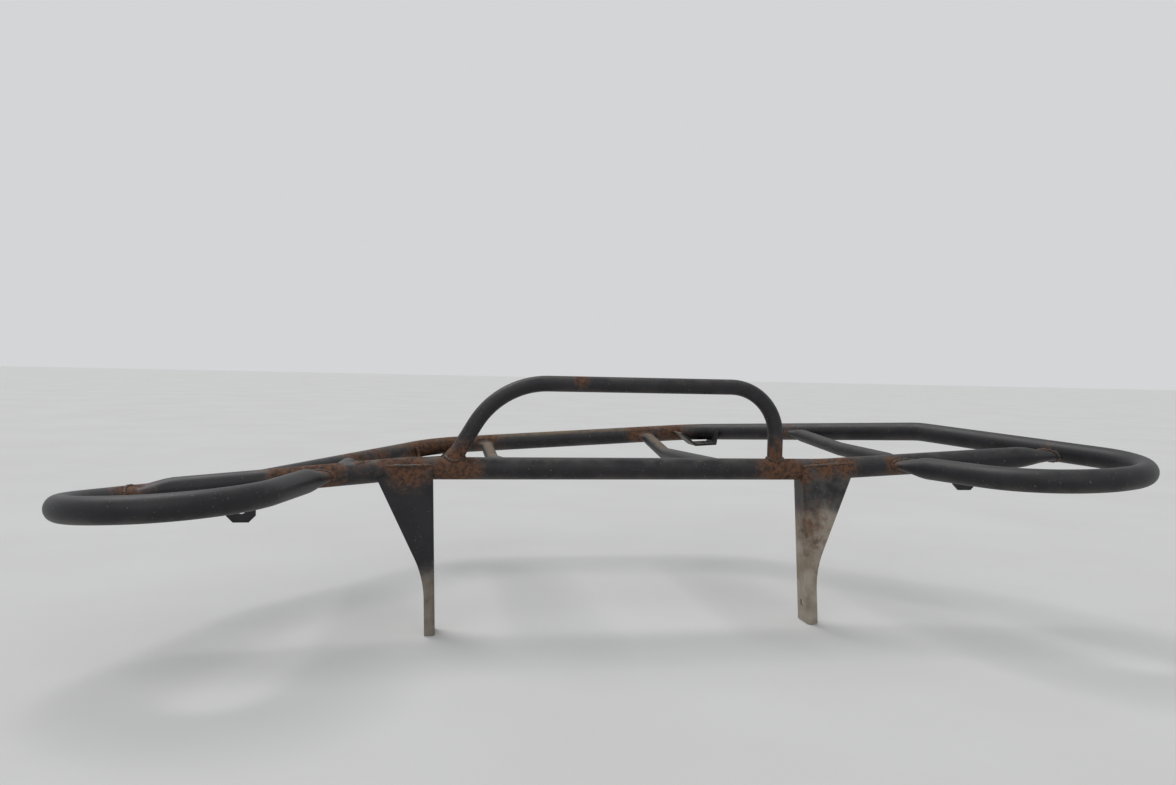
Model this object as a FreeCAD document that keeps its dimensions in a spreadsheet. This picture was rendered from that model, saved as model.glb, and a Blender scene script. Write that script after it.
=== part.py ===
import FreeCAD, Part
import math
import os
import Sketcher
from FreeCAD import Placement, Rotation, Vector

# Front luggage rack of a quad bike, a weldment of bent round tube and folded sheet.
# Millimetres. X runs along the front rail, to the right as seen from the front, Y runs
# towards the rear, Z is up with the rack level. While the pieces are made, the middle of
# the front rail is at zero. At the end everything moves so that zero is under the middle
# of the rack's box, on the plane of the two feet.

os.makedirs("parts", exist_ok=True)
doc = FreeCAD.newDocument("atv_front_rack")

# Driving dimensions
SIZES = [
    ("main_tube_od", 22.2, "outer diameter of the front rail and the outer loop"),
    ("main_tube_wall", 1.6, "wall of the main tube"),
    ("light_tube_od", 15.9, "outer diameter of the hoop and the crossbars"),
    ("light_tube_wall", 1.5, "wall of the light tube"),
    ("root_gap", 0.2, "gap left under each weld where a coped end meets a tube"),
    ("rail_half_straight", 214, "middle of the rail to its bend, each side"),
    ("rail_bend_radius", 131, "centreline radius of the bends in the rail"),
    ("rail_end_forward", 34.3, "end of the rail on the loop, forward of the rail"),
    ("loop_tip_out", 296, "where the loop's tips are welded to the rail, from the middle"),
    ("wing_front_out", 351.1, "front inner corner of a wing, from the middle"),
    ("wing_front_forward", 199.4, "front inner corner of a wing, forward of the rail"),
    ("wing_front_radius", 87.5, "centreline radius there"),
    ("wing_width", 168.8, "front inner corner of a wing to its outer corner, across the rack"),
    ("wing_corner_forward", 154.1, "outer corner of a wing, forward of the rail"),
    ("wing_corner_radius", 73, "centreline radius there"),
    ("side_taper", 123.3, "corner at the rear end of a side, inwards from the wing's outer corner"),
    ("rear_corner_back", 125, "the same corner, behind the rail"),
    ("rear_corner_radius", 61, "centreline radius there"),
    ("rear_bend_out", 182.8, "bend at the end of the rear rail, from the middle"),
    ("rear_rail_back", 369.4, "rear rail, behind the front rail"),
    ("rear_bend_radius", 79, "centreline radius of the rear bends"),
    ("wing_front_twist", 7.3, "bent out of level: right side up, left side down"),
    ("wing_corner_twist", 17.5, "the same twist at the outer corner of a wing"),
    ("rear_corner_twist", 32.4, "the same twist at the rear corner"),
    ("rear_bend_twist", 11.5, "the same twist at the rear bend"),
    ("inner_bar_rear_out", 112, "inner crossbar on the rear rail, from the middle"),
    ("inner_bar_knee_out", 91, "inner crossbar at its bend, from the middle"),
    ("inner_bar_knee_back", 112, "inner crossbar's bend, behind the front rail"),
    ("inner_bar_front_out", 115, "inner crossbar on the front rail, from the middle"),
    ("outer_bar_rear_out", 285, "outer crossbar on the loop, from the middle"),
    ("outer_bar_knee_out", 292, "outer crossbar at its bend, from the middle"),
    ("outer_bar_knee_back", 120, "outer crossbar's bend, behind the front rail"),
    ("outer_bar_sag", 3.5, "outer crossbar's bend below the line between its ends"),
    ("outer_bar_front_out", 305, "outer crossbar on the front rail, from the middle"),
    ("bar_bend_radius", 70, "centreline radius of the crossbars' bends"),
    ("hoop_height", 85.2, "top bar of the hoop above the front rail"),
    ("hoop_left_foot_out", 178.2, "left foot of the hoop, from the middle"),
    ("hoop_left_corner_out", 127.8, "left corner of the hoop, from the middle"),
    ("hoop_left_radius", 75, "centreline radius of the left corner"),
    ("hoop_right_foot_out", 161.5, "right foot of the hoop, from the middle"),
    ("hoop_right_radius", 42, "centreline radius of the right corner"),
    ("leg_length", 162, "front rail's centre to the foot of a leg"),
    ("leg_sheet", 3, "sheet of the legs"),
    ("leg_lap", 3, "the leg's web reaches above the rail's centre by this"),
    ("leg_top_width", 52, "web of a leg at the rail"),
    ("leg_shank_width", 10.5, "web of a leg in its narrow lower part"),
    ("leg_shank_height", 57, "where the web's taper meets the narrow part, above the foot"),
    ("leg_shoulder_radius", 100, "curve that joins the taper to the narrow part"),
    ("leg_flange_depth", 27, "flange of a leg, rearwards from the web's front face"),
    ("leg_fold_radius", 4, "outside radius of the fold"),
    ("leg_bolt_bore", 8.5, "bolt hole in the flange of a leg"),
    ("leg_bolt_height", 19, "that hole, above the foot"),
    ("leg_bolt_setback", 17, "that hole, behind the web's front face"),
    ("left_leg_inner", 192.5, "inner edge of the left leg at the rail, from the middle"),
    ("left_leg_lean", 1.6, "degrees that the left foot is bent towards the right"),
    ("right_leg_inner", 188.5, "inner edge of the right leg at the rail, from the middle"),
    ("right_leg_lean", 3.6, "degrees that the right foot is bent towards the right"),
    ("bracket_out", 188, "middle of a rear bracket, from the middle"),
    ("bracket_sheet", 3, "sheet of the rear brackets"),
    ("bracket_base_width", 30, "flat base of a rear bracket"),
    ("bracket_inner_flare", 22, "inner side of a rear bracket flares by this"),
    ("bracket_outer_flare", 4, "outer side of a rear bracket flares by this"),
    ("bracket_drop", 16, "underside of the base below the rear rail's centre"),
    ("bracket_rise", 3, "sides of a rear bracket above the rear rail's centre"),
    ("bracket_setin", 11, "rear edge of a rear bracket, forward of the rear rail's centre"),
    ("bracket_depth", 38, "length of a rear bracket, forward from its rear edge"),
    ("bracket_bolt_bore", 8.5, "bolt hole in the base of a rear bracket"),
    ("bracket_bolt_setback", 13, "that hole, behind the front edge of the base"),
    ("tab_inset", 99, "middle of an under-rail tab, inwards from the rail's end"),
    ("tab_width", 26, "width of a tab"),
    ("tab_sheet", 3, "sheet of a tab"),
    ("tab_drop", 34, "lower edge of a tab below the rail's centre"),
    ("tab_corner", 6, "cut corners of a tab"),
    ("tab_bolt_bore", 8.5, "bolt hole in a tab"),
    ("tab_bolt_drop", 22, "that hole, below the rail's centre"),
]

sheet = doc.addObject("Spreadsheet::Sheet", "Sizes")
for row, (alias, value, meaning) in enumerate(SIZES, start=1):
    sheet.set("A%d" % row, meaning)
    sheet.set("B%d" % row, str(value))
    sheet.setAlias("B%d" % row, alias)
doc.recompute()

LEFT = -1
RIGHT = 1
SIDE_NAMES = {LEFT: "left", RIGHT: "right"}


def size(alias):
    """One driving dimension, as a number."""
    return float(sheet.get(alias))


def between(start, end, share):
    """The point at a share of the way from start to end."""
    return start + (end - start) * share


# Centreline points of the main tubes, each for one side of the rack
def wing_front(side):
    height = side * size("wing_front_twist")
    return Vector(side * size("wing_front_out"), -size("wing_front_forward"), height)


def wing_corner(side):
    out = size("wing_front_out") + size("wing_width")
    return Vector(side * out, -size("wing_corner_forward"), side * size("wing_corner_twist"))


def rear_corner(side):
    out = size("wing_front_out") + size("wing_width") - size("side_taper")
    return Vector(side * out, size("rear_corner_back"), side * size("rear_corner_twist"))


def rear_bend(side):
    height = side * size("rear_bend_twist")
    return Vector(side * size("rear_bend_out"), size("rear_rail_back"), height)


def rail_bend(side):
    return Vector(side * size("rail_half_straight"), 0, 0)


def rail_end(side):
    """Where the front rail's centreline meets that of the loop's side."""
    run = size("wing_corner_forward") + size("rear_corner_back")
    share = (size("wing_corner_forward") - size("rail_end_forward")) / run
    return between(wing_corner(side), rear_corner(side), share)


def on_rail_wing(side, out):
    """A point on the sloping outer stretch of the front rail, by its distance out."""
    bend = rail_bend(side)
    end = rail_end(side)
    return between(bend, end, (side * out - bend.x) / (end.x - bend.x))


def on_rear_rail(side, out):
    return between(Vector(0, size("rear_rail_back"), 0), rear_bend(side), out / size("rear_bend_out"))


def on_rear_shoulder(side, out):
    """A point on the loop's straight run between the rear bend and the rear corner."""
    bend = rear_bend(side)
    corner = rear_corner(side)
    return between(bend, corner, (side * out - bend.x) / (corner.x - bend.x))


# Bent tubes: straight runs joined by tangent arcs, swept with a circle
def bent_path(name, points, radii):
    """A wire through the points, with an arc of the given radius at each inner point."""
    edges = []
    start = points[0]
    for before, corner, after, radius in zip(points, points[1:], points[2:], radii):
        towards = (before - corner).normalize()
        onwards = (after - corner).normalize()
        half_angle = towards.getAngle(onwards) / 2
        reach = radius / math.tan(half_angle)
        bisector = (towards + onwards).normalize()
        centre = corner + bisector * (radius / math.sin(half_angle))
        arc_start = corner + towards * reach
        arc_end = corner + onwards * reach
        edges.append(Part.LineSegment(start, arc_start).toShape())
        edges.append(Part.Arc(arc_start, centre - bisector * radius, arc_end).toShape())
        start = arc_end
    edges.append(Part.LineSegment(start, points[-1]).toShape())
    path = doc.addObject("Part::Feature", name + "_path")
    path.Shape = Part.Wire(edges)
    return path


def swept_rod(name, path, radius_formula):
    """A solid rod along the path, its radius bound to the sheet."""
    first_edge = path.Shape.Edges[0]
    section = doc.addObject("Part::Circle", name + "_section")
    section.setExpression("Radius", radius_formula)
    heading = first_edge.tangentAt(first_edge.FirstParameter)
    section.Placement = Placement(path.Shape.Vertexes[0].Point, Rotation(Vector(0, 0, 1), heading))
    rod = doc.addObject("Part::Sweep", name)
    rod.Sections = [section]
    rod.Spine = (path, ["Edge%d" % (i + 1) for i in range(len(path.Shape.Edges))])
    rod.Solid = True
    rod.Frenet = False
    return rod


def cope(blank, name, cutters):
    """The blank less each cutter in turn; the last cut carries the name."""
    piece = blank
    for number, cutter in enumerate(cutters, start=1):
        cut = doc.addObject("Part::Cut", "%s_cope_%d" % (name, number))
        cut.Base = piece
        cut.Tool = cutter
        piece = cut
    piece.Label = name
    return piece


def bent_tube(name, points, radii, tube, cutters):
    """A hollow tube of kind main or light along the points, coped by the cutters."""
    path = bent_path(name, points, radii)
    outside = swept_rod(name + "_outside", path, "Sizes.%s_tube_od / 2" % tube)
    bore_formula = "Sizes.%s_tube_od / 2 - Sizes.%s_tube_wall" % (tube, tube)
    bore = swept_rod(name + "_bore", path, bore_formula)
    blank = doc.addObject("Part::Cut", name + "_blank")
    blank.Base = outside
    blank.Tool = bore
    return cope(blank, name, cutters)


def cope_cutter(name, start, end, tube="main"):
    """A straight rod from start to end, as thick as the tube with its root gap."""
    cutter = doc.addObject("Part::Cylinder", name)
    cutter.setExpression("Radius", "Sizes.%s_tube_od / 2 + Sizes.root_gap" % tube)
    cutter.Height = (end - start).Length
    cutter.Placement = Placement(start, Rotation(Vector(0, 0, 1), end - start))
    return cutter


# Sketches: outlines whose corners are bound to the sheet
def plane_of(body, role):
    return [plane for plane in body.Origin.OriginFeatures if plane.Role == role][0]


def outline(body, name, plane, corners):
    """A closed outline. Each corner is a pair of formulas, with 0 for a place on an axis."""
    sketch = body.newObject("Sketcher::SketchObject", name)
    sketch.AttachmentSupport = (plane_of(body, plane), "")
    sketch.MapMode = "FlatFace"
    spots = [Vector(*(value_of(formula) for formula in corner), 0) for corner in corners]
    count = len(spots)
    for i, spot in enumerate(spots):
        sketch.addGeometry(Part.LineSegment(spot, spots[(i + 1) % count]), False)
    for i in range(count):
        sketch.addConstraint(Sketcher.Constraint("Coincident", i, 2, (i + 1) % count, 1))
    for i, corner in enumerate(corners):
        for kind, axis, formula in (("DistanceX", -2, corner[0]), ("DistanceY", -1, corner[1])):
            if formula == 0:
                sketch.addConstraint(Sketcher.Constraint("PointOnObject", i, 1, axis))
                continue
            distance = Sketcher.Constraint(kind, -1, 1, i, 1, value_of(formula))
            number = sketch.addConstraint(distance)
            sketch.setExpression("Constraints[%d]" % number, formula)
    return sketch


def value_of(formula):
    """The number that a formula of the sheet's cells gives."""
    return 0.0 if formula == 0 else float(sheet.evalExpression(formula))


def pad(body, sketch, name, formula, reverse=False):
    feature = body.newObject("PartDesign::Pad", name)
    feature.Profile = sketch
    feature.setExpression("Length", formula)
    feature.Reversed = reverse
    body.Tip = feature
    return feature


def bolt_hole(body, name, plane, across, along, bore_formula):
    """A round hole through the whole body, drilled across the plane at two formulas."""
    sketch = body.newObject("Sketcher::SketchObject", name + "_circle")
    sketch.AttachmentSupport = (plane_of(body, plane), "")
    sketch.MapMode = "FlatFace"
    centre = Vector(value_of(across), value_of(along), 0)
    sketch.addGeometry(Part.Circle(centre, Vector(0, 0, 1), value_of(bore_formula) / 2), False)
    for kind, formula in (("DistanceX", across), ("DistanceY", along)):
        if formula == 0:
            sketch.addConstraint(Sketcher.Constraint("PointOnObject", 0, 3, -2))
            continue
        number = sketch.addConstraint(Sketcher.Constraint(kind, -1, 1, 0, 3, value_of(formula)))
        sketch.setExpression("Constraints[%d]" % number, formula)
    number = sketch.addConstraint(Sketcher.Constraint("Diameter", 0, value_of(bore_formula)))
    sketch.setExpression("Constraints[%d]" % number, bore_formula)
    hole = body.newObject("PartDesign::Pocket", name)
    hole.Profile = sketch
    hole.Type = "ThroughAll"
    hole.Midplane = True
    body.Tip = hole
    return hole


def leg_bracket(side, inner, lean, rail_cutter):
    """A folded leg: a tapering web on the rail's front and a flange that runs rearwards.
    Its body starts with the inner front corner of the foot at zero."""
    name = SIDE_NAMES[side] + "_leg_bracket"
    sign = "-" if side == LEFT else ""
    body = doc.addObject("PartDesign::Body", name + "_body")
    top = "Sizes.leg_length + Sizes.leg_lap"
    web_corners = [
        (0, 0),
        (0, top),
        (sign + "Sizes.leg_top_width", top),
        (sign + "Sizes.leg_top_width", "Sizes.leg_length - Sizes.main_tube_od / 2"),
        (sign + "Sizes.leg_shank_width", "Sizes.leg_shank_height"),
        (sign + "Sizes.leg_shank_width", 0),
    ]
    web_outline = outline(body, name + "_web_outline", "XZ_Plane", web_corners)
    pad(body, web_outline, name + "_web", "Sizes.leg_sheet", reverse=True)
    flange_corners = [
        (0, 0),
        ("Sizes.leg_flange_depth", 0),
        ("Sizes.leg_flange_depth", "Sizes.leg_length"),
        (0, "Sizes.leg_length"),
    ]
    flange_outline = outline(body, name + "_flange_outline", "YZ_Plane", flange_corners)
    pad(body, flange_outline, name + "_flange", "Sizes.leg_sheet", reverse=side == LEFT)
    bolt_hole(body, name + "_bolt_hole", "YZ_Plane", "Sizes.leg_bolt_setback",
              "Sizes.leg_bolt_height", "Sizes.leg_bolt_bore")
    doc.recompute()
    round_edge(body, name + "_fold", "Sizes.leg_fold_radius", 0, 0)
    shoulder = side * size("leg_shank_width")
    round_edge(body, name + "_shoulder", "Sizes.leg_shoulder_radius", shoulder, size("leg_shank_height"))
    front = -size("main_tube_od") / 2 - size("root_gap") - size("leg_sheet")
    pivot = Vector(side * inner, front, 0)
    turn = Rotation(Vector(0, 1, 0), -lean)
    body.Placement = Placement(pivot - turn.multVec(Vector(0, 0, size("leg_length"))), turn)
    return cope(body, name, [rail_cutter])


def round_edge(body, name, radius_formula, across, height):
    """Round the straight edge that passes the front face at a place across and a height."""
    flat = body.Tip
    spot = Part.Vertex(across, 0, height)
    for number, edge in enumerate(flat.Shape.Edges, start=1):
        long_enough = edge.Length > size("leg_sheet") / 2
        on_front = all(abs(vertex.Y) < 1e-6 for vertex in edge.Vertexes)
        upright = across == 0 and on_front and abs(edge.tangentAt(edge.FirstParameter).z) > 0.99
        crosswise = across != 0 and abs(edge.tangentAt(edge.FirstParameter).y) > 0.99
        if long_enough and (upright or crosswise) and edge.distToShape(spot)[0] < 1e-6:
            fillet = body.newObject("PartDesign::Fillet", name)
            fillet.Base = (flat, ["Edge%d" % number])
            fillet.setExpression("Radius", radius_formula)
            body.Tip = fillet
            doc.recompute()
            return


def rear_bracket(side, loop_cutter):
    """A folded channel in front of the rear rail, its flat base drilled for a bolt."""
    name = SIDE_NAMES[side] + "_rear_bracket"
    body = doc.addObject("PartDesign::Body", name + "_body")
    inwards = "-" if side == RIGHT else ""
    outwards = "" if side == RIGHT else "-"
    half = "(Sizes.bracket_base_width / 2)"
    inner_top = "(Sizes.bracket_base_width / 2 + Sizes.bracket_inner_flare)"
    outer_top = "(Sizes.bracket_base_width / 2 + Sizes.bracket_outer_flare)"
    drop = "-Sizes.bracket_drop"
    floor = "Sizes.bracket_sheet - Sizes.bracket_drop"
    rise = "Sizes.bracket_rise"
    corners = [
        (inwards + half, drop),
        (outwards + half, drop),
        (outwards + outer_top, rise),
        (outwards + "(" + outer_top + " - Sizes.bracket_sheet)", rise),
        (outwards + "(" + half + " - Sizes.bracket_sheet * 0.8)", floor),
        (inwards + "(" + half + " - Sizes.bracket_sheet * 0.4)", floor),
        (inwards + "(" + inner_top + " - Sizes.bracket_sheet * 1.5)", rise),
        (inwards + inner_top, rise),
    ]
    section = outline(body, name + "_section", "XZ_Plane", corners)
    pad(body, section, name + "_channel", "Sizes.bracket_depth")
    setback = "Sizes.bracket_bolt_setback - Sizes.bracket_depth"
    bolt_hole(body, name + "_bolt_hole", "XY_Plane", 0, setback, "Sizes.bracket_bolt_bore")
    roll = math.degrees(math.atan2(size("rear_bend_twist"), size("rear_bend_out")))
    seat = on_rear_shoulder(side, size("bracket_out"))
    seat.y = size("rear_rail_back") - size("bracket_setin")
    body.Placement = Placement(seat, Rotation(Vector(0, 1, 0), -roll))
    shoulder = rear_corner(side) - rear_bend(side)
    outwards_step = Vector(0, 0, side).cross(shoulder).normalize() * (size("main_tube_od") / 2)
    behind = cope_cutter(name + "_trim", rear_bend(side) + outwards_step, rear_corner(side) + outwards_step)
    return cope(body, name, [loop_cutter, behind])


def under_rail_tab(side, rail_cutter):
    """A small drilled tab that hangs from the outer stretch of the front rail."""
    name = SIDE_NAMES[side] + "_rail_tab"
    body = doc.addObject("PartDesign::Body", name + "_body")
    half = "Sizes.tab_width / 2"
    cut_half = "(Sizes.tab_width / 2 - Sizes.tab_corner)"
    corners = [
        ("-" + half, 0),
        ("-" + half, "Sizes.tab_corner - Sizes.tab_drop"),
        ("-" + cut_half, "-Sizes.tab_drop"),
        (cut_half, "-Sizes.tab_drop"),
        (half, "Sizes.tab_corner - Sizes.tab_drop"),
        (half, 0),
    ]
    face = outline(body, name + "_face", "XZ_Plane", corners)
    plate = pad(body, face, name + "_plate", "Sizes.tab_sheet")
    plate.Midplane = True
    bolt_hole(body, name + "_bolt_hole", "XZ_Plane", 0, "-Sizes.tab_bolt_drop", "Sizes.tab_bolt_bore")
    out = abs(rail_end(side).x) - size("tab_inset")
    body.Placement = Placement(on_rail_wing(side, out), Rotation())
    return cope(body, name, [rail_cutter])


# Rods that cope the ends and edges that meet a main tube
rail_middle = cope_cutter("rail_middle_cutter", rail_bend(LEFT), rail_bend(RIGHT))
rear_middle = cope_cutter("rear_middle_cutter", rear_bend(LEFT), rear_bend(RIGHT))
rail_wing = {}
loop_side = {}
rear_shoulder = {}
for side in (LEFT, RIGHT):
    name = SIDE_NAMES[side]
    rail_wing[side] = cope_cutter(name + "_rail_wing_cutter", rail_bend(side), rail_end(side))
    loop_side[side] = cope_cutter(name + "_loop_side_cutter", wing_corner(side), rear_corner(side))
    rear_shoulder[side] = cope_cutter(name + "_shoulder_cutter", rear_bend(side), rear_corner(side))

# Outer loop, from the right tip round the rear to the left tip
loop_corners = [wing_front(RIGHT), wing_corner(RIGHT), rear_corner(RIGHT), rear_bend(RIGHT)]
loop_corners += [rear_bend(LEFT), rear_corner(LEFT), wing_corner(LEFT), wing_front(LEFT)]
loop_radii = [size(name + "_radius") for name in ("wing_front", "wing_corner", "rear_corner", "rear_bend")]
loop_points = [on_rail_wing(RIGHT, size("loop_tip_out"))] + loop_corners
loop_points += [on_rail_wing(LEFT, size("loop_tip_out"))]
loop = bent_tube("outer_loop_tube", loop_points, loop_radii + loop_radii[::-1], "main",
                 [rail_wing[RIGHT], rail_wing[LEFT]])
loop_path = doc.getObject("outer_loop_tube_path")
loop_cutter = swept_rod("outer_loop_cutter", loop_path, "Sizes.main_tube_od / 2 + Sizes.root_gap")

# Front rail, from the left side of the loop to its right side
rail_points = [rail_end(LEFT), rail_bend(LEFT), rail_bend(RIGHT), rail_end(RIGHT)]
rail = bent_tube("front_rail_tube", rail_points, [size("rail_bend_radius")] * 2, "main",
                 [loop_side[LEFT], loop_side[RIGHT]])
rail_path = doc.getObject("front_rail_tube_path")
rail_cutter = swept_rod("front_rail_cutter", rail_path, "Sizes.main_tube_od / 2 + Sizes.root_gap")

# Grab hoop, from its left foot to its right foot
hoop_points = [
    Vector(-size("hoop_left_foot_out"), 0, 0),
    Vector(-size("hoop_left_corner_out"), 0, size("hoop_height")),
    Vector(size("hoop_right_foot_out"), 0, size("hoop_height")),
    Vector(size("hoop_right_foot_out"), 0, 0),
]
hoop_radii = [size("hoop_left_radius"), size("hoop_right_radius")]
hoop = bent_tube("grab_hoop_tube", hoop_points, hoop_radii, "light", [rail_middle])

# Crossbars, legs, rear brackets and tabs, the same on both sides
nodes = [loop, rail, hoop]
for side in (LEFT, RIGHT):
    name = SIDE_NAMES[side]
    inner_points = [
        on_rear_rail(side, size("inner_bar_rear_out")),
        Vector(side * size("inner_bar_knee_out"), size("inner_bar_knee_back"), 0),
        Vector(side * size("inner_bar_front_out"), 0, 0),
    ]
    nodes.append(bent_tube(name + "_inner_crossbar", inner_points, [size("bar_bend_radius")], "light",
                           [rear_middle, rail_middle]))
    bar_rear = on_rear_shoulder(side, size("outer_bar_rear_out"))
    bar_front = on_rail_wing(side, size("outer_bar_front_out"))
    share = (size("outer_bar_knee_back") - bar_front.y) / (bar_rear.y - bar_front.y)
    knee_height = between(bar_front, bar_rear, share).z - size("outer_bar_sag")
    bar_knee = Vector(side * size("outer_bar_knee_out"), size("outer_bar_knee_back"), knee_height)
    nodes.append(bent_tube(name + "_outer_crossbar", [bar_rear, bar_knee, bar_front],
                           [size("bar_bend_radius")], "light", [rear_shoulder[side], rail_wing[side]]))
    inner = size(name + "_leg_inner")
    nodes.append(leg_bracket(side, inner, size(name + "_leg_lean"), rail_cutter))
    nodes.append(rear_bracket(side, loop_cutter))
    nodes.append(under_rail_tab(side, rail_wing[side]))
doc.recompute()

# The whole rack moves so that zero is under the middle of its box, on its feet
box = FreeCAD.BoundBox()
for node in nodes:
    box.add(node.Shape.optimalBoundingBox(False))
shift = Vector(-box.Center.x, -box.Center.y, -box.ZMin)
for node in nodes:
    node.Placement = Placement(shift, Rotation())
doc.recompute()

failed = [item.Name for item in doc.Objects if "Invalid" in item.State or "Error" in item.State]
if failed:
    raise RuntimeError("failed objects: " + ", ".join(failed))
for node in nodes:
    if node.Shape.isNull() or not node.Shape.isValid() or len(node.Shape.Solids) != 1:
        raise RuntimeError("bad shape: %s, %d solids" % (node.Label, len(node.Shape.Solids)))
    node.Shape.exportStep("parts/%s.step" % node.Label)
print("nodes %d, moved by %.3f %.3f %.3f" % (len(nodes), shift.x, shift.y, shift.z))
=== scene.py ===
import math
import bpy
from mathutils import Matrix, Vector, noise


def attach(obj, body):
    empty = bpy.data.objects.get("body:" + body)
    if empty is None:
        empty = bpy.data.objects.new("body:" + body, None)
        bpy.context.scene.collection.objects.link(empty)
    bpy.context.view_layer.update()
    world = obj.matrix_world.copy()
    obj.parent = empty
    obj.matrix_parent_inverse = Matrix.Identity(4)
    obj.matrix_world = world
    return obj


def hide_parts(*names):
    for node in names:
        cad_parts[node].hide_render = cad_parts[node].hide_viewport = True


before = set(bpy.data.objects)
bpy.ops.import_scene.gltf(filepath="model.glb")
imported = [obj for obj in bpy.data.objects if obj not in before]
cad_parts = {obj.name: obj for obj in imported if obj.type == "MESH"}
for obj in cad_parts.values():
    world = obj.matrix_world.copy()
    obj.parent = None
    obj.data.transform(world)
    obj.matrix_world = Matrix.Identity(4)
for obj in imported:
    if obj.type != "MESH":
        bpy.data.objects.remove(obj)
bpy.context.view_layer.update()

# Tubes, in metres: radii, half width and half height of a pressed end, and the length of its taper
MAIN_RADIUS = 0.0111
LIGHT_RADIUS = 0.00795
MAIN_PRESSED = (0.0140, 0.00625)
LIGHT_PRESSED = (0.0108, 0.0044)
MAIN_CRIMP = 0.032
LIGHT_CRIMP = 0.024
RAIL_BEND = 0.131
BAR_BEND = 0.070

# The middle of the front rail
RAIL_Y = -0.09458
RAIL_Z = 0.16223

# The under-rail tabs, and half the length of the welds along them
TAB_OUT = 0.36798
TAB_Y = -0.11546
TAB_WELD_HALF = 0.0135

# Facets of a tube: sides, gap between its rings where straight, and degrees between them in a bend
TUBE_SIDES = 36
RING_GAP = 0.007
RING_TURN = 4
EXTRUDE_STRIDE = 0.005

# Radii of the weld beads
MAIN_BEAD = 0.0016
BAR_BEAD = 0.0014
HOOP_BEAD = 0.0015
LEG_BEAD = 0.0019
TAB_BEAD = 0.0022

# Colours of the paint and of what lies on it
BLACK_PAINT = ((0.0078, 0.0077, 0.0098), (0.0150, 0.0148, 0.0178))
# Grey of the dust on the tops, also used to paint their highlight
GREY_DUST_AND_TOP_SHEEN = (0.205, 0.190, 0.168)
TAN_DUST = (0.270, 0.190, 0.115)
BROWN_GRIME = (0.110, 0.090, 0.068)
BEIGE_MUD = ((0.270, 0.220, 0.165), (0.400, 0.355, 0.295))
PALE_MARK = (0.24, 0.22, 0.19)
PAINT_RUST = ((0.042, 0.025, 0.018), (0.165, 0.076, 0.040))
WELD_RUST = ((0.045, 0.026, 0.018), (0.155, 0.078, 0.042))
WELD_PAINT = (0.022, 0.021, 0.023)
WELD_DUST = (0.21, 0.18, 0.14)
PALE_FLOOR = ((0.66, 0.655, 0.64), (0.69, 0.685, 0.672))


class Value:
    """A shader socket that takes part in Python's arithmetic."""

    def __init__(self, finish, socket):
        self.finish = finish
        self.socket = socket

    def _maths(self, operation, first, second=None):
        inputs = {0: first}
        if second is not None:
            inputs[1] = second
        return self.finish.add("ShaderNodeMath", {"operation": operation}, inputs)

    def __add__(self, other):
        return self._maths("ADD", self, other)

    def __sub__(self, other):
        return self._maths("SUBTRACT", self, other)

    def __rsub__(self, other):
        return self._maths("SUBTRACT", other, self)

    def __mul__(self, other):
        return self._maths("MULTIPLY", self, other)

    def most(self, other):
        return self._maths("MAXIMUM", self, other)


class Finish:
    """One material and the few ways in which its nodes are made."""

    def __init__(self, name):
        self.material = bpy.data.materials.new(name)
        self.material.use_nodes = True
        self.tree = self.material.node_tree
        self.shader = self.tree.nodes["Principled BSDF"]

    def add(self, kind, settings=None, inputs=None, output=0):
        """A node of that kind: its settings first, then the values or links of its sockets."""
        node = self.tree.nodes.new(kind)
        for name, setting in (settings or {}).items():
            setattr(node, name, setting)
        for name, given in (inputs or {}).items():
            if isinstance(given, Value):
                self.tree.links.new(given.socket, node.inputs[name])
            else:
                node.inputs[name].default_value = given
        return Value(self, node.outputs[output])

    def place(self):
        return self.add("ShaderNodeTexCoord", output="Object")

    def speckle(self, place, scale, detail, roughness=0.55):
        """Cloudy noise from 0 to 1, with about so many spots to the metre."""
        inputs = {"Vector": place, "Scale": scale, "Detail": detail, "Roughness": roughness}
        return self.add("ShaderNodeTexNoise", {}, inputs, "Fac")

    def rise(self, amount, start, end):
        """0 below start and 1 above end, with a soft step between them."""
        settings = {"interpolation_type": "SMOOTHSTEP"}
        inputs = {"Value": amount, "From Min": start, "From Max": end}
        return self.add("ShaderNodeMapRange", settings, inputs)

    def stretch(self, place, scale):
        return self.add("ShaderNodeVectorMath", {"operation": "MULTIPLY"}, {0: place, 1: scale})

    def height(self, place):
        return self.add("ShaderNodeSeparateXYZ", {}, {0: place}, "Z")

    def facing_up(self):
        normal = self.add("ShaderNodeNewGeometry", output="Normal")
        return self.add("ShaderNodeSeparateXYZ", {}, {0: normal}, "Z")

    def near(self, place, spot, reach):
        """1 at the spot, falling to 0 at that distance."""
        far = self.add("ShaderNodeVectorMath", {"operation": "DISTANCE"}, {0: place, 1: spot}, "Value")
        inputs = {"Value": far, "From Min": reach, "From Max": 0.0}
        return self.add("ShaderNodeMapRange", {}, inputs)

    def blend(self, share, under, over):
        """The colour over laid on the colour under by that share."""
        node = self.tree.nodes.new("ShaderNodeMix")
        node.data_type = "RGBA"
        self.tree.links.new(share.socket, node.inputs[0])
        for socket, given in ((6, under), (7, over)):
            if isinstance(given, Value):
                self.tree.links.new(given.socket, node.inputs[socket])
            else:
                node.inputs[socket].default_value = (*given, 1.0)
        return Value(self, node.outputs[2])

    def wear(self, colour, roughness, relief, depth):
        """Gives the shader its colour, its roughness and a bump of that depth in metres."""
        inputs = {"Height": relief, "Distance": depth, "Strength": 1.0}
        bump = self.add("ShaderNodeBump", {}, inputs)
        self.tree.links.new(colour.socket, self.shader.inputs["Base Color"])
        self.tree.links.new(roughness.socket, self.shader.inputs["Roughness"])
        self.tree.links.new(bump.socket, self.shader.inputs["Normal"])


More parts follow.
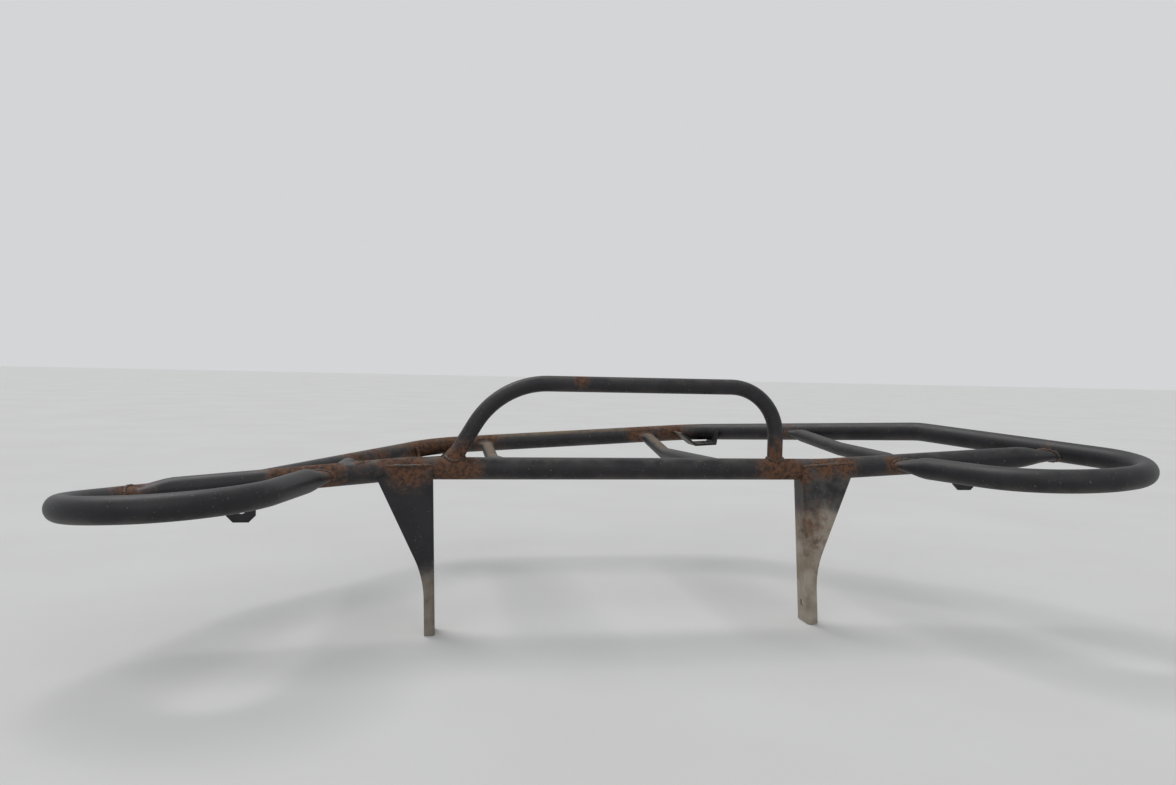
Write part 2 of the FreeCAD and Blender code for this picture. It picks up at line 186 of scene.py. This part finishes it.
# Places where the paint has rusted through: centre, reach and how strongly
RUST_SPOTS = [
    ((-0.172, -0.104, 0.166), 0.040, 0.80),
    ((-0.156, -0.106, 0.160), 0.022, 0.70),
    ((0.166, -0.104, 0.166), 0.040, 0.85),
    ((0.182, -0.106, 0.158), 0.028, 0.80),
    ((-0.216, -0.106, 0.166), 0.034, 0.85),
    ((-0.236, -0.100, 0.172), 0.024, 0.70),
    ((-0.262, -0.100, 0.166), 0.024, 0.60),
    ((-0.300, -0.108, 0.162), 0.036, 0.95),
    ((-0.330, -0.110, 0.166), 0.034, 0.85),
    ((0.212, -0.106, 0.167), 0.024, 0.70),
    ((0.234, -0.104, 0.168), 0.024, 0.75),
    ((0.288, -0.112, 0.168), 0.018, 0.75),
    ((0.464, -0.126, 0.184), 0.018, 0.75),
    ((-0.464, -0.128, 0.146), 0.036, 0.80),
    ((-0.500, -0.150, 0.150), 0.032, 0.65),
    ((-0.047, -0.098, 0.252), 0.013, 1.00),
    ((-0.112, 0.266, 0.162), 0.034, 0.70),
    ((-0.160, 0.268, 0.158), 0.044, 0.70),
    ((0.104, 0.266, 0.176), 0.030, 0.95),
    ((-0.205, 0.250, 0.152), 0.060, 0.80),
    ((-0.262, 0.190, 0.146), 0.040, 0.60),
    ((0.150, 0.262, 0.178), 0.040, 0.70),
    ((-0.285, 0.158, 0.142), 0.040, 0.65),
    ((0.285, 0.158, 0.184), 0.026, 0.50),
    ((0.196, -0.108, 0.100), 0.050, 0.45),
]


def worn_paint(name, mud_below=0.0, mud_share=0.0, dust_and_sheen_share=0.30, haze=0.12):
    """Worn satin black paint: grain, pale specks, scratches, dust on top with a painted highlight on the
    tops, and rust at the welds.
    Mud dust lies below the height mud_below. The last two arguments give the share of grey dust and
    painted top highlight on every top, and haze, the part of it that upright faces get."""
    finish = Finish(name)
    place = finish.place()
    mottle = finish.speckle(place, 42.0, 4.0)
    grain = finish.speckle(place, 950.0, 2.0)
    patches = finish.speckle(place, 120.0, 5.0, 0.62)
    colour = finish.blend(finish.rise(mottle, 0.34, 0.68), *BLACK_PAINT)

    # Grey dust where the surface faces up, thickest near the middle of the rack, together with a painted
    # highlight: the tops are lightened where the overhead light falls
    upward = finish.rise(finish.facing_up(), 0.15, 0.95)
    middle = finish.rise(finish.near(place, (0.06, 0.02, 0.20), 0.62), 0.10, 0.75)
    cloud = finish.rise(finish.speckle(place, 75.0, 5.0, 0.6), 0.30, 0.70)
    dust_and_top_sheen = (upward * 0.85 + haze) * cloud * (middle * 0.75 + 0.25)
    colour = finish.blend(dust_and_top_sheen * dust_and_sheen_share, colour, GREY_DUST_AND_TOP_SHEEN)

    # Tan dust that has settled along the top of the rear rail and its bends
    rear = finish.rise(finish.near(place, (-0.04, 0.290, 0.175), 0.30), 0.12, 0.45)
    settled = rear * finish.rise(finish.facing_up(), 0.45, 0.95) * finish.rise(patches, 0.30, 0.60)
    colour = finish.blend(settled * 0.60, colour, TAN_DUST)

    # Brown grime on the undersides
    under = finish.rise(finish.facing_up() * -1.0, 0.20, 0.90) * finish.rise(mottle, 0.38, 0.62)
    colour = finish.blend(under * 0.30, colour, BROWN_GRIME)

    # Beige mud dust on the lower part of the legs
    muddy = None
    if mud_share > 0.0:
        edge = finish.height(place) + (finish.speckle(place, 38.0, 4.0) - 0.5) * 0.05
        low = finish.rise(edge, mud_below, mud_below - 0.03)
        muddy = low * finish.rise(patches, 0.02, 0.48) * mud_share
        mud = finish.blend(finish.rise(mottle, 0.35, 0.65), *BEIGE_MUD)
        colour = finish.blend(muddy, colour, mud)

    # Pale specks and fine scratches along the rack's width
    dots = finish.rise(finish.speckle(place, 430.0, 1.0), 0.715, 0.76)
    streaks = finish.speckle(finish.stretch(place, (45.0, 900.0, 900.0)), 1.0, 2.0)
    scratch = finish.rise(streaks, 0.72, 0.76)
    marks = (dots * 0.38).most(scratch * 0.30)
    colour = finish.blend(marks, colour, PALE_MARK)

    # Rust, densest at its spots and broken up by the noise
    near_weld = None
    for spot, reach, strength in RUST_SPOTS:
        closeness = finish.near(place, spot, reach) * strength
        near_weld = closeness if near_weld is None else near_weld.most(closeness)
    loose = finish.rise(finish.speckle(place, 26.0, 5.0, 0.65), 0.60, 0.78) * 0.24
    eaten = near_weld.most(loose) + (patches - 0.5) * 0.9
    rust = finish.rise(eaten, 0.12, 0.54)
    rust_tone = finish.rise(finish.speckle(place, 210.0, 4.0, 0.7), 0.34, 0.64)
    rust_colour = finish.blend(rust_tone, *PAINT_RUST)
    colour = finish.blend(rust * 0.88, colour, rust_colour)

    roughness = (dust_and_top_sheen * 0.22 + settled * 0.3 + mottle * 0.16 + 0.38).most(rust * 0.86)
    if muddy is not None:
        roughness = roughness.most(muddy * 0.9)
    relief = grain * 0.25 + rust * finish.speckle(place, 420.0, 3.0, 0.7) + scratch * -0.2
    finish.wear(colour, roughness, relief, 0.00035)
    finish.shader.inputs["Specular IOR Level"].default_value = 0.36
    return finish.material


def weld_metal(name):
    """A bead of weld: lumpy, painted once and now mostly rust."""
    finish = Finish(name)
    place = finish.place()
    tone = finish.speckle(place, 260.0, 4.0, 0.65)
    paint_left = finish.rise(finish.speckle(place, 110.0, 4.0), 0.44, 0.58)
    rust_colour = finish.blend(finish.rise(tone, 0.36, 0.66), *WELD_RUST)
    colour = finish.blend(paint_left * 0.8, rust_colour, WELD_PAINT)
    colour = finish.blend(finish.rise(finish.facing_up(), 0.4, 1.0) * 0.25, colour, WELD_DUST)
    roughness = 0.85 - paint_left * 0.3
    finish.wear(colour, roughness, finish.speckle(place, 520.0, 3.0, 0.7), 0.0005)
    return finish.material


tube_paint = worn_paint("worn_black_tube_paint")
sheet_paint = worn_paint("worn_black_sheet_paint")
right_leg_paint = worn_paint("dusty_right_leg_paint", mud_below=0.132, mud_share=0.95,
                             dust_and_sheen_share=0.62, haze=0.55)
left_leg_paint = worn_paint("dusty_left_leg_paint", mud_below=0.078, mud_share=0.62, dust_and_sheen_share=0.16)
bead_metal = weld_metal("rusty_weld_metal")

# Every solid gets its finish, also where a tube modelled below stands for it
NODE_FINISH = {"left_leg_bracket": left_leg_paint, "right_leg_bracket": right_leg_paint}
for node_name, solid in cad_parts.items():
    is_sheet = "bracket" in node_name or "tab" in node_name
    finish_of_node = NODE_FINISH.get(node_name, sheet_paint if is_sheet else tube_paint)
    solid.data.materials.clear()
    solid.data.materials.append(finish_of_node)


def deselect():
    bpy.ops.object.select_all(action="DESELECT")


def settle(piece, finish_of_piece):
    """Place goes into the mesh, edges are shaded, and the piece joins the rack."""
    deselect()
    piece.select_set(True)
    bpy.context.view_layer.objects.active = piece
    bpy.ops.object.transform_apply(location=True, rotation=True, scale=True)
    bpy.ops.object.shade_smooth_by_angle(angle=math.radians(50))
    piece.data.materials.append(finish_of_piece)
    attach(piece, "root")
    return piece


def rounded_way(points, radii):
    """Places along a tube's centreline: straight runs between the points, and an arc at each bend."""
    points = [Vector(point) for point in points]
    way = []
    start = points[0]
    for before, corner, after, radius in zip(points, points[1:], points[2:], radii):
        towards = (before - corner).normalized()
        onwards = (after - corner).normalized()
        half_angle = towards.angle(onwards) / 2
        arc_start = corner + towards * (radius / math.tan(half_angle))
        centre = corner + (towards + onwards).normalized() * (radius / math.sin(half_angle))
        way += even_places(start, arc_start)
        turn = math.pi - 2 * half_angle
        steps = max(3, round(turn / math.radians(RING_TURN)))
        for step in range(steps):
            swing = Matrix.Rotation(-turn * step / steps, 3, towards.cross(onwards))
            way.append(centre + swing @ (arc_start - centre))
        start = corner + onwards * (radius / math.tan(half_angle))
    return way + even_places(start, points[-1]) + [points[-1]]


def even_places(start, end):
    """Places about a ring's gap apart from start towards end, without the end."""
    count = max(1, round((end - start).length / RING_GAP))
    return [start.lerp(end, step / count) for step in range(count)]


def bent_tube(name, node, points, radii, radius, pressed=None, crimp=0.0, sideways=None):
    """A tube bent through the points. Its ends are pressed flat over the length of the crimp,
    to half the width and height that pressed gives. sideways is its side where it isn't level."""
    way = rounded_way(points, radii)
    deselect()
    bpy.ops.mesh.primitive_circle_add(vertices=TUBE_SIDES, radius=radius, fill_type="NGON")
    piece = bpy.context.object
    piece.name = name
    bpy.ops.object.mode_set(mode="EDIT")
    bpy.ops.mesh.select_all(action="SELECT")
    for step in way[1:]:
        bpy.ops.mesh.extrude_region_move(TRANSFORM_OT_translate={"value": (0, 0, EXTRUDE_STRIDE)})
    bpy.ops.mesh.select_all(action="SELECT")
    bpy.ops.mesh.normals_make_consistent(inside=False)
    bpy.ops.object.mode_set(mode="OBJECT")
    rings = []
    for index, place in enumerate(way):
        heading = (way[min(index + 1, len(way) - 1)] - way[max(index - 1, 0)]).normalized()
        side = Vector(sideways) if sideways else Vector((0, 0, 1)).cross(heading).normalized()
        width, height = radius, radius
        if pressed:
            to_end = min((place - way[0]).length, (place - way[-1]).length)
            flat = 1.0 - min(1.0, max(0.0, (to_end - MAIN_RADIUS) / crimp))
            flat = flat * flat * (3.0 - 2.0 * flat)
            width += (pressed[0] - radius) * flat
            height += (pressed[1] - radius) * flat
        rings.append((place, side * width / radius, heading.cross(side) * height / radius))
    for vertex in piece.data.vertices:
        place, side, upward = rings[round(vertex.co.z / EXTRUDE_STRIDE)]
        vertex.co = place + side * vertex.co.x + upward * vertex.co.y
    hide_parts(node)
    return settle(piece, tube_paint)


def weld_round(name, carrier, foot, along, half_width, half_height, bead):
    """A bead of weld round a tube's foot, where it meets the tube that carries it."""
    carrier_tube = tubes[carrier]
    along = along.normalized()
    sideways = Vector((0, 0, 1)).cross(along)
    if sideways.length < 0.1:
        sideways = Vector((1, 0, 0))
    sideways.normalize()
    turn = Matrix((sideways, along.cross(sideways), along)).transposed()
    deselect()
    bpy.ops.mesh.primitive_torus_add(
        major_segments=84, minor_segments=10, major_radius=half_width, minor_radius=bead)
    piece = bpy.context.object
    piece.name = name
    seats = {}
    for vertex in piece.data.vertices:
        flat = Vector((vertex.co.x, vertex.co.y, 0.0))
        outwards = flat.normalized()
        angle = round(math.atan2(outwards.y, outwards.x), 4)
        if angle not in seats:
            reach = Vector((outwards.x * half_width, outwards.y * min(half_height, MAIN_RADIUS * 0.9), 0))
            if abs(along.z) > 0.5:
                reach = Vector((outwards.x * half_width, outwards.y * half_height, 0))
            start = foot + turn @ reach + along * 0.03
            hit, spot, normal, index = carrier_tube.ray_cast(start, -along)
            seats[angle] = (spot - foot).dot(along) if hit else 0.0
        ripple = 1.0 + 0.16 * math.sin(angle * 17.0)
        wobble = 0.45 * noise.noise((foot + turn @ outwards * 0.02) * 190.0)
        ring = Vector((outwards.x * half_width, outwards.y * half_height, 0))
        swollen = ring + (vertex.co - outwards * half_width) * (ripple + wobble)
        vertex.co = foot + turn @ swollen + along * (seats[angle] + 0.0006)
    return settle(piece, bead_metal)


def weld_end(name, carrier, way, pressed, bead):
    """The weld at the first point of a tube's centreline, on the tube that carries it."""
    foot = Vector(way[0])
    weld_round(name, carrier, foot, Vector(way[1]) - foot, *pressed, bead)


def weld_line(name, start, end, bead, steps):
    """A straight run of weld from start to end, thinner at both ends."""
    start = Vector(start)
    end = Vector(end)
    heading = (end - start).normalized()
    stride = (end - start).length / steps
    deselect()
    bpy.ops.mesh.primitive_circle_add(vertices=10, radius=bead, fill_type="NGON")
    piece = bpy.context.object
    piece.name = name
    bpy.ops.object.mode_set(mode="EDIT")
    bpy.ops.mesh.select_all(action="SELECT")
    for step in range(steps):
        bpy.ops.mesh.extrude_region_move(TRANSFORM_OT_translate={"value": (0, 0, stride)})
    bpy.ops.mesh.select_all(action="SELECT")
    bpy.ops.mesh.normals_make_consistent(inside=False)
    bpy.ops.object.mode_set(mode="OBJECT")
    turn = Vector((0, 0, 1)).rotation_difference(heading).to_matrix()
    length = stride * steps
    for vertex in piece.data.vertices:
        share = vertex.co.z / length
        taper = 0.35 + 0.65 * min(1.0, 9.0 * share, 9.0 * (1.0 - share))
        ripple = 1.0 + 0.15 * math.sin(share * length * 1700.0)
        wobble = 0.5 * noise.noise((start + heading * vertex.co.z) * 170.0)
        spread = Vector((vertex.co.x, vertex.co.y, 0.0)) * taper * (ripple + wobble)
        vertex.co = start + turn @ spread + heading * vertex.co.z
    return settle(piece, bead_metal)


# Centrelines of the bent tubes, and the radius of each bend
LOOP_WAY = [
    (0.29600, -0.10570, 0.16868), (0.35110, -0.29398, 0.16953), (0.51990, -0.24868, 0.17973),
    (0.39660, 0.03042, 0.19463), (0.18280, 0.27482, 0.17373), (-0.18280, 0.27482, 0.15073),
    (-0.39660, 0.03042, 0.12983), (-0.51990, -0.24868, 0.14473), (-0.35110, -0.29398, 0.15493),
    (-0.29600, -0.10570, 0.15578)]
LOOP_BENDS = [0.0875, 0.073, 0.061, 0.079, 0.079, 0.061, 0.073, 0.0875]
RAIL_WAY = [(-0.46698, -0.12888, 0.14233), (-0.214, RAIL_Y, RAIL_Z), (0.214, RAIL_Y, RAIL_Z),
            (0.46698, -0.12888, 0.18213)]
HOOP_WAY = [(-0.1782, RAIL_Y, RAIL_Z), (-0.1278, RAIL_Y, 0.24743), (0.1615, RAIL_Y, 0.24743),
            (0.1615, RAIL_Y, RAIL_Z)]
HOOP_BENDS = [0.084, 0.050]
BAR_WAYS = {
    "left_inner": [(-0.112, 0.27482, 0.15518), (-0.112, 0.15742, 0.14343), (-0.115, RAIL_Y, RAIL_Z)],
    "left_outer": [(-0.285, 0.15799, 0.14074), (-0.292, 0.02542, 0.14441), (-0.305, -0.10692, 0.15507)],
    "right_inner": [(0.112, 0.27482, 0.16928), (0.112, 0.15742, 0.15303), (0.115, RAIL_Y, RAIL_Z)],
    "right_outer": [(0.285, 0.15799, 0.18372), (0.292, 0.02542, 0.17305), (0.305, -0.10692, 0.16939)],
}
tubes = {
    "outer_loop_tube": bent_tube("pressed_outer_loop", "outer_loop_tube", LOOP_WAY, LOOP_BENDS,
                                 MAIN_RADIUS, MAIN_PRESSED, MAIN_CRIMP),
    "front_rail_tube": bent_tube("pressed_front_rail", "front_rail_tube", RAIL_WAY, [RAIL_BEND] * 2,
                                 MAIN_RADIUS, MAIN_PRESSED, MAIN_CRIMP),
    "grab_hoop_tube": bent_tube("bent_grab_hoop", "grab_hoop_tube", HOOP_WAY, HOOP_BENDS,
                                LIGHT_RADIUS, sideways=(0, 1, 0)),
}
for bar_name, bar_way in BAR_WAYS.items():
    bent_tube("pressed_%s_crossbar" % bar_name, bar_name + "_crossbar", bar_way, [BAR_BEND],
              LIGHT_RADIUS, LIGHT_PRESSED, LIGHT_CRIMP)
bpy.context.view_layer.update()

# Welds round the feet of the hoop, the pressed ends of the main tubes and those of the crossbars
ROUND_FOOT = (LIGHT_RADIUS, LIGHT_RADIUS)
weld_end("left_hoop_foot_weld", "front_rail_tube", HOOP_WAY, ROUND_FOOT, HOOP_BEAD)
weld_end("right_hoop_foot_weld", "front_rail_tube", HOOP_WAY[::-1], ROUND_FOOT, HOOP_BEAD)
weld_end("right_loop_tip_weld", "front_rail_tube", LOOP_WAY, MAIN_PRESSED, MAIN_BEAD)
weld_end("left_loop_tip_weld", "front_rail_tube", LOOP_WAY[::-1], MAIN_PRESSED, MAIN_BEAD)
weld_end("right_rail_end_weld", "outer_loop_tube", RAIL_WAY[::-1], MAIN_PRESSED, MAIN_BEAD)
weld_end("left_rail_end_weld", "outer_loop_tube", RAIL_WAY, MAIN_PRESSED, MAIN_BEAD)
for bar_name, bar_way in BAR_WAYS.items():
    weld_end(bar_name + "_bar_rear_weld", "outer_loop_tube", bar_way, LIGHT_PRESSED, BAR_BEAD)
    weld_end(bar_name + "_bar_front_weld", "front_rail_tube", bar_way[::-1], LIGHT_PRESSED, BAR_BEAD)

# Along the top edge of each leg, where its sheet lies on the front rail
LEG_WELD_Y = RAIL_Y - 0.0120
weld_line("left_leg_weld", (-0.2435, LEG_WELD_Y, 0.1650), (-0.1935, LEG_WELD_Y, 0.1660), LEG_BEAD, 26)
weld_line("right_leg_weld", (0.1880, LEG_WELD_Y, 0.1660), (0.2380, LEG_WELD_Y, 0.1692), LEG_BEAD, 26)

# Both faces of each tab, along the underside of the rail
for side_name, middle, level in (("left", -TAB_OUT, 0.1380), ("right", TAB_OUT, 0.1632)):
    for face_name, off in (("front", -0.0019), ("rear", 0.0019)):
        start = (middle - TAB_WELD_HALF, TAB_Y + off, level)
        end = (middle + TAB_WELD_HALF, TAB_Y + off, level)
        weld_line("%s_tab_%s_weld" % (side_name, face_name), start, end, TAB_BEAD, 14)


def floor_finish():
    finish = Finish("pale_floor")
    place = finish.place()
    cloud = finish.rise(finish.speckle(place, 3.0, 4.0), 0.3, 0.7)
    colour = finish.blend(cloud, *PALE_FLOOR)
    finish.tree.links.new(colour.socket, finish.shader.inputs["Base Color"])
    finish.shader.inputs["Roughness"].default_value = 0.9
    finish.shader.inputs["Specular IOR Level"].default_value = 0.2
    return finish.material


deselect()
bpy.ops.mesh.primitive_plane_add(size=30.0, location=(0, 0, 0))
floor = bpy.context.object
floor.name = "studio_floor"
floor.data.materials.append(floor_finish())


def pale_world():
    """Soft light from all round, and a pale background for the rays that see or reflect it."""
    world = bpy.data.worlds.new("pale_room")
    world.use_nodes = True
    tree = world.node_tree
    tree.nodes.clear()
    out = tree.nodes.new("ShaderNodeOutputWorld")
    path = tree.nodes.new("ShaderNodeLightPath")
    light = tree.nodes.new("ShaderNodeBackground")
    light.inputs["Color"].default_value = (0.93, 0.96, 1.0, 1.0)
    light.inputs["Strength"].default_value = 0.40
    seen = tree.nodes.new("ShaderNodeBackground")
    seen.inputs["Color"].default_value = (0.66, 0.665, 0.68, 1.0)
    seen.inputs["Strength"].default_value = 1.0
    camera_or_gloss = tree.nodes.new("ShaderNodeMath")
    camera_or_gloss.operation = "MAXIMUM"
    any_seen = tree.nodes.new("ShaderNodeMath")
    any_seen.operation = "MAXIMUM"
    choose = tree.nodes.new("ShaderNodeMixShader")
    tree.links.new(path.outputs["Is Camera Ray"], camera_or_gloss.inputs[0])
    tree.links.new(path.outputs["Is Glossy Ray"], camera_or_gloss.inputs[1])
    tree.links.new(camera_or_gloss.outputs[0], any_seen.inputs[0])
    tree.links.new(path.outputs["Is Transmission Ray"], any_seen.inputs[1])
    tree.links.new(any_seen.outputs[0], choose.inputs[0])
    tree.links.new(light.outputs[0], choose.inputs[1])
    tree.links.new(seen.outputs[0], choose.inputs[2])
    tree.links.new(choose.outputs[0], out.inputs["Surface"])
    bpy.context.scene.world = world


def soft_sky_lamp(name, heading, strength, spread):
    """Even light from one side of the room, as wide as that many degrees."""
    lamp = bpy.data.lights.new(name, "SUN")
    lamp.energy = strength
    lamp.angle = math.radians(spread)
    holder = bpy.data.objects.new(name, lamp)
    holder.rotation_euler = Vector(heading).to_track_quat("-Z", "Y").to_euler()
    bpy.context.collection.objects.link(holder)


pale_world()
soft_sky_lamp("ceiling_light", (0.30, -0.42, -1.0), 1.35, 34.0)
soft_sky_lamp("door_light", (0.25, 0.9, -0.75), 0.55, 60.0)


def photo_camera():
    """The camera at the photograph's place, with its lens."""
    across = Vector((0.98271, -0.18365, 0.02367))
    upward = Vector((-0.01745, 0.03540, 0.99922))
    back = Vector((-0.18434, -0.98235, 0.03159))
    lens = bpy.data.cameras.new("photo_camera")
    lens.sensor_fit = "HORIZONTAL"
    lens.sensor_width = 36.0
    lens.lens = 29.05
    lens.clip_start = 0.02
    holder = bpy.data.objects.new("photo_camera", lens)
    turn = Matrix((across, upward, back)).transposed().to_4x4()
    holder.matrix_world = Matrix.Translation((-0.21595, -1.03515, 0.26947)) @ turn
    bpy.context.collection.objects.link(holder)
    bpy.context.scene.camera = holder


photo_camera()
bpy.context.scene.view_settings.view_transform = "Standard"
